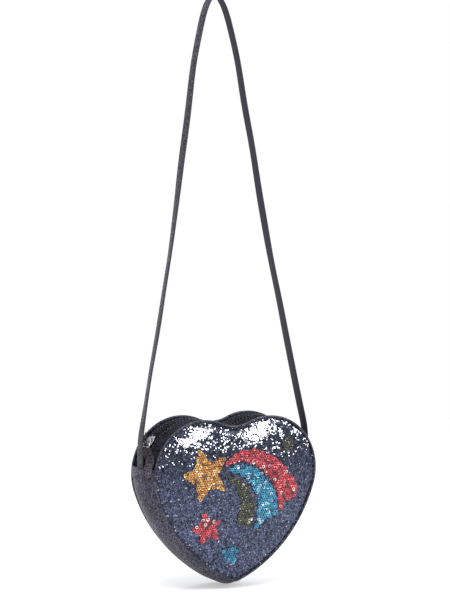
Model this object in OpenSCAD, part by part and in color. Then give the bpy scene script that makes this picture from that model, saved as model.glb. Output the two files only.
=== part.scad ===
// Heart-shaped crossbody bag with a zipped top, hanging from its strap.
// The origin is where a hook carries the strap. +Z is up and the front faces -Y.

/* [Heart outline] */
// Width across the two lobes, over the piping
bag_w = 170; // [160:1:180]
// Radius of each upper lobe
lobe_r = 50.5; // [48:0.5:53]
// Radius of the soft dip between the lobes
dip_r = 36; // [28:1:44]
// Radius of each lower flank
flank_r = 134; // [128:1:144]
// Angle below the lobe centre at which the flank takes over from the lobe
flank_from = 18.5; // [16:0.5:22]
// Radius of the point at the bottom
tip_r = 5; // [4:0.5:8]

/* [Panels] */
// Depth of the bag over its two rows of piping
bag_d = 45; // [41:1:52]
// Thickness of the glitter vinyl
skin_t = 1; // [0.8:0.1:1.2]
// How far each padded panel stands out past its rim
puff = 4; // [2:0.5:5]
// Width of the curved shoulder round each panel's flat middle
shoulder_w = 7.5; // [6:0.5:9]
// Depth of the foam behind each panel's rim
foam_t = 2.5; // [1.5:0.5:4]
// Thickness of the lining cloth
lining_t = 0.5; // [0.4:0.1:0.8]
// How far the piping stands out past the panel's edge
piping_t = 1.2; // [0.9:0.1:1.5]

/* [Gusset] */
// Height of the side seams above the centres of the lobes
seam_z = 6; // [3:0.5:8]
// How far the lower gusset bulges in the middle of its width
crown = 6; // [5:0.5:7]
// Thickness of the foam in the gusset, at its edges
gusset_foam_t = 1.7; // [1.4:0.1:2.2]
// Height of the folded hem at the top of the lower gusset
hem_h = 8; // [6:0.5:11]

/* [Zip] */
// How far the zip lies behind the middle of the gusset
zip_back = 6; // [4:0.5:7]
// Width of the gap between the two leatherette strips
zip_gap = 9; // [8.8:0.1:10]
// Depth to which the two strips are sunk below the piping
strip_sink = 2.2; // [2:0.1:2.6]
// Thickness of each strip
strip_t = 1.2; // [1:0.1:1.4]
// Thickness of the woven tape
tape_t = 0.5; // [0.4:0.1:0.7]
// Width of each tape
tape_w = 10; // [8:0.5:11]
// Width of each row of coiled teeth
teeth_w = 2.2; // [1.8:0.1:2.4]
// Height of the coiled teeth above the tape
teeth_h = 1.5; // [1.2:0.1:1.7]
// Slot between the rows, in which the slider's post runs
teeth_gap = 1.6; // [1.4:0.1:1.8]
// Angle above the lobe centre at which each row of teeth ends
teeth_from = 30; // [26:1:32]

/* [Slider and pull] */
// Angle above the lobe centre at which the closed slider rests
slider_at = 39; // [38:1:42]
// Length of the slider along the zip
slider_l = 10; // [9:0.5:11]
// Width of the slider
slider_w = 8.4; // [8:0.1:8.6]
// Thickness of the slider's plates
plate_t = 1.2; // [1:0.1:1.3]
// Radius of the pull's cross pin
pin_r = 0.9; // [0.8:0.05:1]
// Thickness of the wire in the pull
wire_t = 1.2; // [1:0.1:1.3]
// Distance from the pull's pin to its lower bar
pull_l = 7.5; // [7:0.25:8]
// Width of the glitter tab on the pull
tab_w = 9; // [7:0.5:10]
// Thickness of that tab
tab_t = 1.4; // [1:0.1:1.6]

/* [Strap] */
// Width of the strap
strap_w = 10; // [8:0.5:11]
// Thickness of the strap
strap_t = 2; // [1.6:0.1:2.2]
// Height from the strap's sewn ends up to its bend over the hook
strap_rise = 420; // [380:5:480]
// How far the hook lies to the left of the bag's middle
hook_left = 10; // [0:1:14]
// Height above the lobe centres at which the strap starts to flex
flex_z = 13; // [12.5:0.5:15]

/* [Sequins] */
// Thickness of the sewn layer of sequins
sequin_t = 0.7; // [0.4:0.1:1]

/* [Hidden] */

$fn = 96;

// Clearances: two still faces, two faces that slide, a pin in its hole, and a cut's overrun
still = 0.1;
slide = 0.3;
running = 0.05;
over = 1;

// Colours of the vinyl, the cloth, the foam, the metal and the sequins
glitter = [0.27, 0.27, 0.37];
grey_glitter = [0.33, 0.32, 0.38];
leather = [0.17, 0.17, 0.22];
black = [0.05, 0.05, 0.06];
foam = [0.8, 0.8, 0.78];
nickel = [0.6, 0.6, 0.62];
gold = [0.88, 0.62, 0.28];
red = [0.8, 0.25, 0.3];
blue = [0.15, 0.55, 0.7];
olive = [0.3, 0.3, 0.15];

// The heart is drawn about the middle of the line between its two lobe centres
half_w = bag_w / 2;
lobe_x = half_w - lobe_r;
dip_z = sqrt(pow(lobe_r + dip_r, 2) - pow(lobe_x, 2));
dip_from = atan2(dip_z, -lobe_x);
flank_x = lobe_x - (flank_r - lobe_r) * cos(flank_from);
flank_z = (flank_r - lobe_r) * sin(flank_from);
seam_a = asin(seam_z / lobe_r);

// Depths below the heart's outline, which the outside of the piping follows
edge_in = piping_t;
skin_in = edge_in + skin_t;
strip_in = strip_sink + strip_t;
tape_in = strip_in + tape_t;
liner_in = max(tape_in, skin_in + gusset_foam_t);
core_in = liner_in + lining_t;

// Places across the bag's depth, from the middle outwards
piping_y = bag_d / 2;
rim_y = piping_y - piping_t;
wall_y = rim_y - skin_t;
cap_y = rim_y + puff;

function dir(a) = [cos(a), sin(a)];
function unit(v) = v / norm(v);
function rest(v) = [for (i = [1 : len(v) - 1]) v[i]];
function reversed(v) = [for (i = [len(v) - 1 : -1 : 0]) v[i]];
function mirrored(v) = [for (p = reversed(v)) [-p.x, p.y]];
function arc(c, r, from, to, n) = [for (i = [0 : n]) c + r * dir(from + (to - from) * i / n)];

// The tip is a smaller circle that touches both flanks, at any depth below the outline
function tip_in_r(in) = max(tip_r - in, tip_r / 10);
function tip_z(in) = flank_z - sqrt(pow(flank_r - in - tip_in_r(in), 2) - pow(flank_x, 2));
function tip_a(in) = atan2(tip_z(in) - flank_z, -flank_x);

// The upper stretch runs from the right seam over both lobes to the left seam
lobe_n = 18;
dip_n = 8;
function upper(in, from = seam_a) =
    let (right = arc([lobe_x, 0], lobe_r - in, from, dip_from, lobe_n),
         dip = arc([0, dip_z], dip_r + in, dip_from - 180, -dip_from, dip_n))
    concat(right, [for (i = [1 : dip_n - 1]) dip[i]], mirrored(right));

// The lower stretch runs from the left seam round the tip to the right seam
side_n = 4;
flank_n = 9;
tip_n = 3;
function lower(in, to = seam_a) =
    let (tip = arc([0, tip_z(in)], tip_in_r(in), -90, tip_a(in), tip_n),
         flank = arc([flank_x, flank_z], flank_r - in, tip_a(in), -flank_from, flank_n),
         side = arc([lobe_x, 0], lobe_r - in, -flank_from, to, side_n),
         right = concat(tip, rest(flank), rest(side)))
    concat(mirrored(right), rest(right));

function outline(in) =
    let (under = lower(in))
    concat(upper(in), [for (i = [1 : len(under) - 2]) under[i]]);

// Everything but the strap hangs below the hook by the strap's drop
module hung() {
    translate([hook_left, 0, strap_t / 2 - strap_rise - flex_z]) children();
}

module at_back() {
    mirror([0, 1, 0]) children();
}

// A flat shape in X and Z, made solid between two places across the depth
module across(y_from, y_to) {
    translate([0, y_to, 0]) rotate([90, 0, 0]) linear_extrude(y_to - y_from) children();
}

module slab(in, y_from, y_to) {
    across(y_from, y_to) polygon(outline(in));
}

module band(outer, inner, y_from, y_to) {
    across(y_from, y_to) polygon(concat(outer, reversed(inner)));
}

// A ring's cap: one flat face, or a strip where the ring goes out along a line and back inside it
function cap(at, n, strip) = strip
    ? [for (i = [0 : n / 2 - 2]) each [[at + i, at + i + 1, at + n - 2 - i],
                                       [at + i, at + n - 2 - i, at + n - 1 - i]]]
    : [[for (i = [0 : n - 1]) at + i]];

// A closed skin through rings of equally many points, with its first and last ring capped
module loft(rings, strip = false) {
    n = len(rings[0]);
    polyhedron(
        points = [for (r = rings) each r],
        faces = concat(
            [for (k = [0 : len(rings) - 2], i = [0 : n - 1])
                let (j = (i + 1) % n, a = k * n, b = a + n)
                each [[a + i, a + j, b + i], [a + j, b + j, b + i]]],
            [for (f = cap(0, n, strip)) reversed(f)],
            cap((len(rings) - 1) * n, n, strip)));
}

// A padded panel: a flat flange round the rim, a round shoulder and a flat cap
shoulder_n = 3;
function ring_at(in, y) = [for (p = outline(in)) [p.x, y, p.y]];
function shoulder(y) = [for (i = [shoulder_n : -1 : 0])
    ring_at(core_in + shoulder_w * i / shoulder_n, y - puff * sin(90 * i / shoulder_n))];

module panel() {
    hung() loft(concat(shoulder(-rim_y), [ring_at(edge_in, -rim_y), ring_at(edge_in, -wall_y)],
                       reversed(shoulder(-wall_y))));
}

module panel_foam() {
    hung() loft(concat(shoulder(-wall_y), [ring_at(core_in, foam_t - wall_y)]));
}

module panel_lining() {
    hung() slab(core_in, foam_t - wall_y, foam_t + lining_t - wall_y);
}

// The piping wraps the panel's edge and stands forward of its flange
module panel_piping() {
    hung() difference() {
        slab(0, -piping_y, -wall_y);
        slab(edge_in, -piping_y - over, over - wall_y);
    }
}

// Stitches lie in the valley between the piping and the shoulder
stitch_l = 2.6;
stitch_t = 0.5;
stitch_pitch = 4.2;
stitch_in = (edge_in + core_in) / 2;

function running_total(v) = [for (i = 0, t = 0; i < len(v); t = t + v[i], i = i + 1) t];

module panel_stitches() {
    ring = outline(stitch_in);
    closed = concat(ring, [ring[0]]);
    steps = [for (i = [1 : len(closed) - 1]) norm(closed[i] - closed[i - 1])];
    far = running_total(concat(steps, [0]));
    xs = [for (i = [0 : len(far) - 1]) [far[i], closed[i].x]];
    zs = [for (i = [0 : len(far) - 1]) [far[i], closed[i].y]];
    round_l = far[len(far) - 1];
    count = floor(round_l / stitch_pitch);
    hung() for (i = [0 : count - 1]) {
        from = round_l * i / count;
        a = [lookup(from, xs), lookup(from, zs)];
        b = [lookup(from + stitch_l, xs), lookup(from + stitch_l, zs)];
        translate([a.x, -rim_y - stitch_t, a.y])
            rotate([0, -atan2(b.y - a.y, b.x - a.x), 0])
                cube([norm(b - a), stitch_t, stitch_t]);
    }
}

module front_panel() {
    color(glitter) panel();
}

module front_foam() {
    color(foam) panel_foam();
}

module front_lining() {
    color(black) panel_lining();
}

module front_piping() {
    color(leather) panel_piping();
}

module front_stitches() {
    color(nickel) panel_stitches();
}

module back_panel() {
    color(glitter) at_back() panel();
}

module back_foam() {
    color(foam) at_back() panel_foam();
}

module back_lining() {
    color(black) at_back() panel_lining();
}

module back_piping() {
    color(leather) at_back() panel_piping();
}

module back_stitches() {
    color(nickel) at_back() panel_stitches();
}

// The lower gusset bulges outwards between the panels, from seam to seam under the bag
across_n = 8;
stations = [for (j = [0 : across_n]) wall_y * (2 * j / across_n - 1)];
function bulge(y) = crown * (1 - pow(y / wall_y, 2));
function cut_at(y, outer, inner) = [for (p = concat(outer, reversed(inner))) [p.x, y, p.y]];

// Its upper edges are level with the seams, however far it bulges
function level(in) = lower(in, asin(seam_z / (lobe_r - in)));

module lower_gusset() {
    color(grey_glitter) hung()
        loft([for (y = stations) cut_at(y, level(edge_in - bulge(y)), level(skin_in - bulge(y)))],
             strip = true);
}

// A folded hem covers the gusset's upper edge, above which the strap comes out
sewn_z = seam_z - hem_h;
fold_z = (lobe_r - edge_in + crown) * sin(seam_a) + still;
fold_in_x = lobe_x + lobe_r - strip_sink + still;
function hem_x(y) = half_w - edge_in + bulge(y) + still;

// The strap's sewn ends lie inside the gusset's skin, clear of its curve
strap_edge_r = lobe_r - edge_in + bulge(strap_w / 2) - skin_t;
strap_out_x = lobe_x + sqrt(pow(strap_edge_r, 2) - pow(fold_z, 2)) - still;
strap_in_x = strap_out_x - strap_t;
strap_x = strap_out_x - strap_t / 2;

module side_hem() {
    under = [for (y = stations) [hem_x(y), y]];
    outer = [for (p = under) [p.x + skin_t, p.y]];
    hung() {
        translate([0, 0, sewn_z]) linear_extrude(fold_z - sewn_z + skin_t)
            polygon(concat(outer, reversed(under)));
        translate([0, 0, fold_z]) linear_extrude(skin_t) difference() {
            polygon(concat(outer, [[fold_in_x, wall_y], [fold_in_x, -wall_y]]));
            translate([strap_in_x - still, -strap_w / 2 - still])
                square([strap_t + 2 * still, strap_w + 2 * still]);
        }
    }
}

module side_hem_right() {
    color(grey_glitter) side_hem();
}

module side_hem_left() {
    color(grey_glitter) translate([2 * hook_left, 0, 0]) mirror([1, 0, 0]) side_hem();
}

// The gusset's foam has a pocket for each of the strap's sewn ends
module gusset_foam() {
    color(foam) hung() difference() {
        loft([for (y = stations) cut_at(y, lower(skin_in - bulge(y)), lower(liner_in))],
             strip = true);
        for (side = [0, 1]) mirror([side, 0, 0])
            translate([strap_in_x - still, -strap_w / 2 - still, sewn_z - still])
                cube([strap_t + 2 * crown, strap_w + 2 * still, 2 * hem_h]);
    }
}

// The lining is slit below the zip, for the slider's foot
slit_half = slider_w / 2 + 2 * slide;

module gusset_lining() {
    color(black) hung() difference() {
        slab(liner_in, -wall_y, wall_y);
        slab(core_in, -wall_y - over, wall_y + over);
        band(upper(-over), upper(core_in + over), zip_back - slit_half, zip_back + slit_half);
    }
}

// The strips, tapes and teeth of the zip run over both lobes
slot_front = zip_back - teeth_gap / 2;
slot_back = zip_back + teeth_gap / 2;
teeth_in = strip_in - teeth_h;

module front_zip_strip() {
    color(leather) hung() band(upper(strip_sink), upper(strip_in), -wall_y, zip_back - zip_gap / 2);
}

module back_zip_strip() {
    color(leather) hung() band(upper(strip_sink), upper(strip_in), zip_back + zip_gap / 2, wall_y);
}

module front_zip_tape() {
    color(black) hung() band(upper(strip_in), upper(tape_in), slot_front - tape_w, slot_front);
}

module back_zip_tape() {
    color(black) hung() band(upper(strip_in), upper(tape_in), slot_back, slot_back + tape_w);
}

module teeth(y_from) {
    band(upper(teeth_in, teeth_from), upper(strip_in - still, teeth_from), y_from, y_from + teeth_w);
}

module front_zip_teeth() {
    color(black) hung() teeth(slot_front - teeth_w);
}

module back_zip_teeth() {
    color(black) hung() teeth(slot_back);
}

// A piece that follows a lobe's arc, between two depths below the outline
module sector(in_from, in_to, y_from, y_to, from, to) {
    translate([lobe_x, y_to, 0]) rotate([90, 0, 0]) rotate([0, 0, from])
        rotate_extrude(angle = to - from)
            translate([lobe_r - in_to, 0]) square([in_to - in_from, y_to - y_from]);
}

// A metal stop is pinched on the tape at each end of each row of teeth
stop_a = 2.5;

module zip_end_stops() {
    color(nickel) hung() for (side = [0, 1], y = [slot_front - teeth_w, slot_back])
        mirror([side, 0, 0])
            sector(teeth_in, strip_in, y, y + teeth_w, teeth_from - stop_a, teeth_from);
}

// The slider's plates hold the teeth from both sides, joined by a post in the slot
slider_a = slider_l / lobe_r * 180 / PI;
slider_from = slider_at - slider_a / 2;
slider_to = slider_at + slider_a / 2;
plate_in = teeth_in - slide;
foot_in = tape_in + slide;
flange_t = plate_t * 3 / 4;
post_t = teeth_gap - 2 * slide;
bridge_t = 1.8;
bridge_l = 5;
bridge_r = pin_r + running + plate_t / 2;
plate_out = lobe_r - plate_in + plate_t;
pin_out = plate_out + bridge_r;

module curved_block(in_from, in_to, middle, width, from = slider_from) {
    sector(in_from, in_to, middle - width / 2, middle + width / 2, from, slider_to);
}

module on_left_lobe(a) {
    mirror([1, 0, 0]) translate([lobe_x, zip_back, 0]) rotate([0, -a, 0]) children();
}

module bar(r, l) {
    rotate([90, 0, 0]) cylinder(r = r, h = l, center = true);
}

module zip_slider() {
    color(nickel) hung() difference() {
        union() {
            mirror([1, 0, 0]) {
                curved_block(plate_in - plate_t, plate_in, zip_back, slider_w);
                curved_block(foot_in, foot_in + plate_t, zip_back, slider_w);
                curved_block(plate_in - plate_t / 2, foot_in + plate_t / 2, zip_back, post_t,
                             slider_to - slider_a / 3);
                for (side = [-1, 1])
                    curved_block(plate_in - plate_t / 2, strip_in - slide,
                                 zip_back + side * (slider_w - flange_t) / 2, flange_t);
            }
            on_left_lobe(slider_at) {
                translate([pin_out, 0, 0]) bar(bridge_r, bridge_t);
                translate([plate_out - plate_t / 2, -bridge_t / 2, -bridge_l / 2])
                    cube([plate_t / 2 + bridge_r, bridge_t, bridge_l]);
            }
        }
        on_left_lobe(slider_at) translate([pin_out, 0, 0]) bar(pin_r + running, slider_w);
    }
}

// The pull is a stamped frame: a pin through the slider's bridge, two arms and a lower bar
hang_a = 8;
arm_in = bridge_t / 2 + slide;
foot_half = tab_w / 2 + slide;
loop_r = wire_t / 2 + running + tab_t * 3 / 5;
splay_l = pull_l - loop_r - slide;

module from_pin() {
    hung() on_left_lobe(slider_at) translate([pin_out, 0, 0]) rotate([0, hang_a, 0]) children();
}

module zip_pull() {
    color(nickel) from_pin() {
        bar(pin_r, 2 * (arm_in + wire_t));
        translate([0, 0, -pull_l]) bar(wire_t / 2, 2 * (foot_half + wire_t));
        for (side = [0, 1]) mirror([0, side, 0])
            translate([-wire_t / 2, 0, 0]) rotate([90, 0, 90]) linear_extrude(wire_t)
                polygon([[arm_in, 0], [arm_in + wire_t, 0], [foot_half + wire_t, -splay_l],
                         [foot_half + wire_t, -pull_l], [foot_half, -pull_l],
                         [foot_half, -splay_l]]);
    }
}

// The tab's loop turns on the lower bar. From there it slips past the strap and over the hem
loop_at = [-lobe_x - pin_out * cos(slider_at) - pull_l * sin(slider_at - hang_a), zip_back,
           pin_out * sin(slider_at) - pull_l * cos(slider_at - hang_a)];
tab_end = [-hem_x(0) - skin_t - tab_t, -3 * strap_w / 2 - tab_t, 0];
tab_route_shares = [[0.03, 0.03, 0.03], [0.18, 0.25, 0.156], [0.34, 0.51, 0.33],
                    [0.47, 0.76, 0.48], [0.9, 0.87, 0.655], [1, 1, 1]];

function tab_point(s) = [for (i = [0 : 2]) loop_at[i] + s[i] * (tab_end[i] - loop_at[i])];

module pull_tab() {
    route = [for (s = tab_route_shares) tab_point(s)];
    last = len(route) - 1;
    rings = [for (i = [0 : last])
        let (along = unit(route[min(i + 1, last)] - route[max(i - 1, 0)]),
             away = unit([route[i].x + lobe_x, 0, route[i].z]),
             turn = i / last,
             flat = unit((1 - turn) * [0, 1, 0] + turn * unit(cross(along, away))),
             w = flat * tab_w / 2,
             t = unit(cross(flat, along)) * tab_t / 2)
        [route[i] - w - t, route[i] + w - t, route[i] + w + t, route[i] - w + t]];
    color(grey_glitter) hung() {
        translate(loop_at) difference() {
            bar(loop_r, tab_w);
            bar(wire_t / 2 + running, tab_w + over);
        }
        loft(rings);
    }
}

// The strap hangs from the hook in two strands. Shares of its drop and of its spread
strap_shares = [[0, 0], [0.012, 0.06], [0.035, 0.12], [0.08, 0.185], [0.17, 0.28], [0.33, 0.41],
                [0.5, 0.55], [0.67, 0.71], [0.83, 0.875], [0.93, 0.98], [0.97, 1], [1, 1]];
strap_steps = 5;

function spline(a, b, c, d, t) =
    0.5 * (2 * b + (c - a) * t + (2 * a - 5 * b + 4 * c - d) * t * t
           + (3 * b - a - 3 * c + d) * t * t * t);

module strap() {
    n = len(strap_shares);
    before = [strap_shares[1].x, -strap_shares[1].y];
    after = [2 - strap_shares[n - 2].x, 1];
    knots = concat([before], strap_shares, [after]);
    half = [for (k = [0 : n - 2], i = [0 : strap_steps - 1])
        spline(knots[k], knots[k + 1], knots[k + 2], knots[k + 3], i / strap_steps)];
    side = concat(half, [strap_shares[n - 1]]);
    both = concat([for (s = reversed(side)) [s.x, -s.y]], rest(side));
    line = [for (s = both)
        [hook_left * s.x + strap_x * s.y, strap_t / 2 - strap_rise * s.x]];
    last = len(line) - 1;
    aside = [for (i = [0 : last])
        let (along = unit(line[min(i + 1, last)] - line[max(i - 1, 0)]))
        [-along.y, along.x] * strap_t / 2];
    color(leather) {
        across(-strap_w / 2, strap_w / 2) polygon(concat(line + aside, reversed(line - aside)));
        for (side_x = [-strap_x, strap_x])
            translate([hook_left + side_x, 0, strap_t / 2 - strap_rise])
                rotate([0, 90, 0]) cylinder(d = strap_w, h = strap_t, center = true);
    }
}

// Each sewn end stops below the flexing part, hollowed so that the strap can swing
swing = 60;
hollow_r = strap_w / 2 + slide;

module strap_end() {
    hung() difference() {
        translate([strap_in_x, -strap_w / 2, sewn_z])
            cube([strap_t, strap_w, flex_z - hollow_r * sin(swing) - sewn_z]);
        translate([strap_x, 0, flex_z]) rotate([0, 90, 0])
            cylinder(r = hollow_r, h = strap_t + over, center = true);
    }
}

module strap_end_right() {
    color(leather) strap_end();
}

module strap_end_left() {
    color(leather) translate([2 * hook_left, 0, 0]) mirror([1, 0, 0]) strap_end();
}

// The sequins are sewn on in flat figures, placed in shares of the bag's half width
module motif(points) {
    hung() across(-cap_y - sequin_t, -cap_y) polygon([for (p = points) p * half_w]);
}

function star(c, r, inner, turn) =
    [for (i = [0 : 9]) c + (i % 2 == 0 ? r : inner) * dir(turn + 36 * i)];

star_shares = star([-0.41, 0.012], 0.31, 0.155, 180);
red_flower_shares = star([-0.39, -0.568], 0.165, 0.085, 104);
blue_flower_shares = star([-0.105, -0.862], 0.11, 0.06, 80);
olive_flower_shares = star([0.61, 0.277], 0.085, 0.05, 90);
red_arc_shares = [[-0.2, 0.083], [-0.1, 0.18], [0.03, 0.24], [0.16, 0.258], [0.28, 0.238],
                  [0.42, 0.17], [0.53, 0.075], [0.62, -0.03], [0.69, -0.125], [0.745, -0.23],
                  [0.7, -0.3], [0.58, -0.327], [0.507, -0.47], [0.49, -0.36], [0.475, -0.26],
                  [0.41, -0.12], [0.279, 0.036], [0.113, 0.126], [-0.04, 0.13]];
blue_arc_shares = [[-0.187, 0.04], [-0.08, 0.085], [0.03, 0.096], [0.195, 0.045], [0.3, -0.035],
                   [0.37, -0.11], [0.43, -0.2], [0.46, -0.29], [0.473, -0.47], [0.33, -0.518],
                   [0.172, -0.62], [0.21, -0.494], [0.235, -0.378], [0.218, -0.233],
                   [0.113, -0.082], [-0.036, 0.02]];
olive_arc_shares = [[-0.187, -0.004], [-0.036, -0.032], [0.09, -0.139], [0.165, -0.25],
                    [0.19, -0.35], [0.175, -0.46], [0.12, -0.574], [-0.03, -0.535],
                    [-0.02, -0.43], [0.013, -0.306], [-0.02, -0.187], [-0.12, -0.075]];

module sequin_star() {
    color(gold) motif(star_shares);
}

module sequin_red_arc() {
    color(red) motif(red_arc_shares);
}

module sequin_blue_arc() {
    color(blue) motif(blue_arc_shares);
}

module sequin_olive_arc() {
    color(olive) motif(olive_arc_shares);
}

module sequin_red_flower() {
    color(red) motif(red_flower_shares);
}

module sequin_blue_flower() {
    color(blue) motif(blue_flower_shares);
}

module sequin_olive_flower() {
    color(olive) motif(olive_flower_shares);
}

strap();
strap_end_left();
strap_end_right();
front_panel();
front_foam();
front_lining();
back_panel();
back_foam();
back_lining();
front_piping();
back_piping();
front_stitches();
back_stitches();
lower_gusset();
gusset_foam();
gusset_lining();
side_hem_left();
side_hem_right();
front_zip_strip();
back_zip_strip();
front_zip_tape();
back_zip_tape();
front_zip_teeth();
back_zip_teeth();
zip_end_stops();
zip_slider();
zip_pull();
pull_tab();
sequin_star();
sequin_red_arc();
sequin_blue_arc();
sequin_olive_arc();
sequin_red_flower();
sequin_blue_flower();
sequin_olive_flower();
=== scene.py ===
# %% [markdown]
# # A heart-shaped glitter bag on its strap
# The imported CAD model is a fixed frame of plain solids. This lesson dresses it: each solid that stands for
# cloth, foam, thread or sequins is replaced by a fuller piece in the same place, and every piece gets a
# finish of its own.

# %% Load the frame
import math
import random

import bpy
import numpy as np
from mathutils import Matrix, Vector, noise
from mathutils.bvhtree import BVHTree


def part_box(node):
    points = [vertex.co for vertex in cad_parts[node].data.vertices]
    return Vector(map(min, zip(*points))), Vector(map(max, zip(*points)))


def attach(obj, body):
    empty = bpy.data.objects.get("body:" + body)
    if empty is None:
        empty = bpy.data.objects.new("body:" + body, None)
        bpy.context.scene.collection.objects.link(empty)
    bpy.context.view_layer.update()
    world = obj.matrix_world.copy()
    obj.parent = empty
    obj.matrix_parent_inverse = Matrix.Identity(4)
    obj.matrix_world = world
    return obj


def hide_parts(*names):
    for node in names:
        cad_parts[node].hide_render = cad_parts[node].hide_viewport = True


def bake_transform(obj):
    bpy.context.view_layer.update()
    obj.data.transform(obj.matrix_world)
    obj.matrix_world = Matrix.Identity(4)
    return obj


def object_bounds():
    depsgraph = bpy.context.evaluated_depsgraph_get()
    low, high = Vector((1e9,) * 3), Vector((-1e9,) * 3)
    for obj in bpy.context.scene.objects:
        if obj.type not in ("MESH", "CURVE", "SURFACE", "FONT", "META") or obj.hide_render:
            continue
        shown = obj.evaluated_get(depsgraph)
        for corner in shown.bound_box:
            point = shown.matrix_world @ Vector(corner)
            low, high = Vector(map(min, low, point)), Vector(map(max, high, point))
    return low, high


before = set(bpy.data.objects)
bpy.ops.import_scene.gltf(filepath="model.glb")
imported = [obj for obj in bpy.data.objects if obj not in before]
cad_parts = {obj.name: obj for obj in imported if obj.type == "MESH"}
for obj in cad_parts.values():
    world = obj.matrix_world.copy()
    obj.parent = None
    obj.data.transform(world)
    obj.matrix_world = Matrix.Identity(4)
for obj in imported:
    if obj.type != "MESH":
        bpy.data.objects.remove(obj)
cad_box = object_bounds()
print("CAD box", [round(x, 4) for corner in cad_box for x in corner])

# %% [markdown]
# ## Adding and shaping pieces
# An operator acts on all that is selected, so every new object is added with nothing else selected. Sizes
# are in millimetres and are turned into metres where a mesh is made.

# %% Helpers for every piece
MM = 0.001
HANG = Vector((10, 0, -432))
WELD_GAP = 0.02 * MM


def place(x, y, z):
    """A point of the bag, in millimetres about the heart's middle, as metres in the frame."""
    return (Vector((x, y, z)) + HANG) * MM


def added(operator, **settings):
    """Adds an object with nothing else selected, and gives it."""
    bpy.ops.object.select_all(action="DESELECT")
    operator(**settings)
    return bpy.context.object


def only(obj):
    bpy.ops.object.select_all(action="DESELECT")
    obj.select_set(True)
    bpy.context.view_layer.objects.active = obj


def edit(obj, *steps):
    """Runs edit-mode steps with the whole mesh selected."""
    only(obj)
    bpy.ops.object.mode_set(mode="EDIT")
    bpy.ops.mesh.select_all(action="SELECT")
    for step in steps:
        step()
    bpy.ops.object.mode_set(mode="OBJECT")


def select_nothing(kind):
    bpy.ops.mesh.select_mode(type=kind)
    bpy.ops.mesh.select_all(action="DESELECT")


def face_outwards():
    bpy.ops.mesh.normals_make_consistent(inside=False)


def weld():
    bpy.ops.mesh.remove_doubles(threshold=WELD_GAP)
    face_outwards()


def close_ends(obj):
    """Puts a face over each open end of a tube."""
    edit(obj, lambda: select_nothing("EDGE"), bpy.ops.mesh.select_non_manifold, bpy.ops.mesh.edge_face_add)
    edit(obj, face_outwards)


def turn_towards(obj, direction):
    """Flips a sheet whose faces mostly look away from a direction."""
    if sum(p.normal.dot(direction) * p.area for p in obj.data.polygons) < 0:
        edit(obj, bpy.ops.mesh.flip_normals)


def coordinates(obj):
    co = np.zeros(len(obj.data.vertices) * 3)
    obj.data.vertices.foreach_get("co", co)
    return co.reshape(-1, 3)


def set_coordinates(obj, co):
    obj.data.vertices.foreach_set("co", np.asarray(co, float).ravel())
    obj.data.update()


def modify(obj, kind, **settings):
    """Adds a modifier and applies it, so that the piece is finished mesh."""
    only(obj)
    bpy.ops.object.modifier_add(type=kind)
    modifier = obj.modifiers[-1]
    for key, value in settings.items():
        setattr(modifier, key, value)
    bpy.ops.object.modifier_apply(modifier=modifier.name)


def smooth(obj, angle=50):
    only(obj)
    bpy.ops.object.shade_smooth_by_angle(angle=math.radians(angle))


def finish(obj, body, slot, material, *replaced):
    """Dresses a finished piece, ties it to its body and hides the CAD nodes it stands for."""
    obj.data.materials.clear()
    for m in material if isinstance(material, list) else [material]:
        obj.data.materials.append(m)
    if body:
        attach(obj, body)
    if replaced:
        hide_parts(*replaced)
    print(obj.name, len(obj.data.polygons), "faces")
    return obj


def ease(value, start, span):
    """0 up to the start, 1 from the start plus the span on, and even in between."""
    return min(max((value - start) / span, 0), 1)


def wander(x, z, size, seed=0):
    """A slow, soft unevenness between -1 and 1, the same on every run."""
    return noise.noise(Vector((x / size, seed * 7.3, z / size)))


# %% [markdown]
# ## The camera
# The photograph looks at the bag's front from its left side, a little from above and through a long lens.
# The camera is set before any piece is made, so that every piece can be judged through it.

# %% Camera
AZIMUTH, ELEVATION, DISTANCE = math.radians(-30.38), math.radians(4.99), 3.0
LOOK_AT = Vector((0.01089, 0, -0.27631))
SENSOR, LENS = 36, 198.31
level = math.cos(ELEVATION)
back = Vector((math.sin(AZIMUTH) * level, -math.cos(AZIMUTH) * level, math.sin(ELEVATION)))
camera = added(bpy.ops.object.camera_add, location=LOOK_AT + back * DISTANCE,
               rotation=(-back).to_track_quat("-Z", "Y").to_euler())
camera.data.sensor_width, camera.data.lens = SENSOR, LENS
bpy.context.scene.camera = camera

# %% [markdown]
# ## The heart's outline
# All the flat pieces follow one heart: two round lobes, a soft dip between them, two long flanks and a
# small round tip. It is drawn in millimetres about the middle between the lobes, and each piece is an inset
# of it.

# %% Heart outline, in millimetres
HALF_W, LOBE_R, DIP_R, FLANK_R, FLANK_FROM, TIP_R = 85, 50.5, 36, 134, 18.5, 5
LOBE_X = HALF_W - LOBE_R
DIP_Z = math.sqrt((LOBE_R + DIP_R) ** 2 - LOBE_X ** 2)
DIP_FROM = math.degrees(math.atan2(DIP_Z, -LOBE_X))
FLANK_X = LOBE_X - (FLANK_R - LOBE_R) * math.cos(math.radians(FLANK_FROM))
FLANK_Z = (FLANK_R - LOBE_R) * math.sin(math.radians(FLANK_FROM))
SEAM_Z = 6
SEAM_A = math.degrees(math.asin(SEAM_Z / LOBE_R))
MIDDLE_Z = -12
LOBE_STEPS, DIP_STEPS, TIP_STEPS, FLANK_STEPS, SIDE_STEPS = 44, 16, 6, 26, 8


def arc(x, z, r, start, end, steps):
    angles = [math.radians(start + (end - start) * i / steps) for i in range(steps + 1)]
    return [(x + r * math.cos(a), z + r * math.sin(a)) for a in angles]


def mirrored(points):
    return [(-x, z) for x, z in reversed(points)]


def closed(points):
    return points + points[:1]


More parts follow.
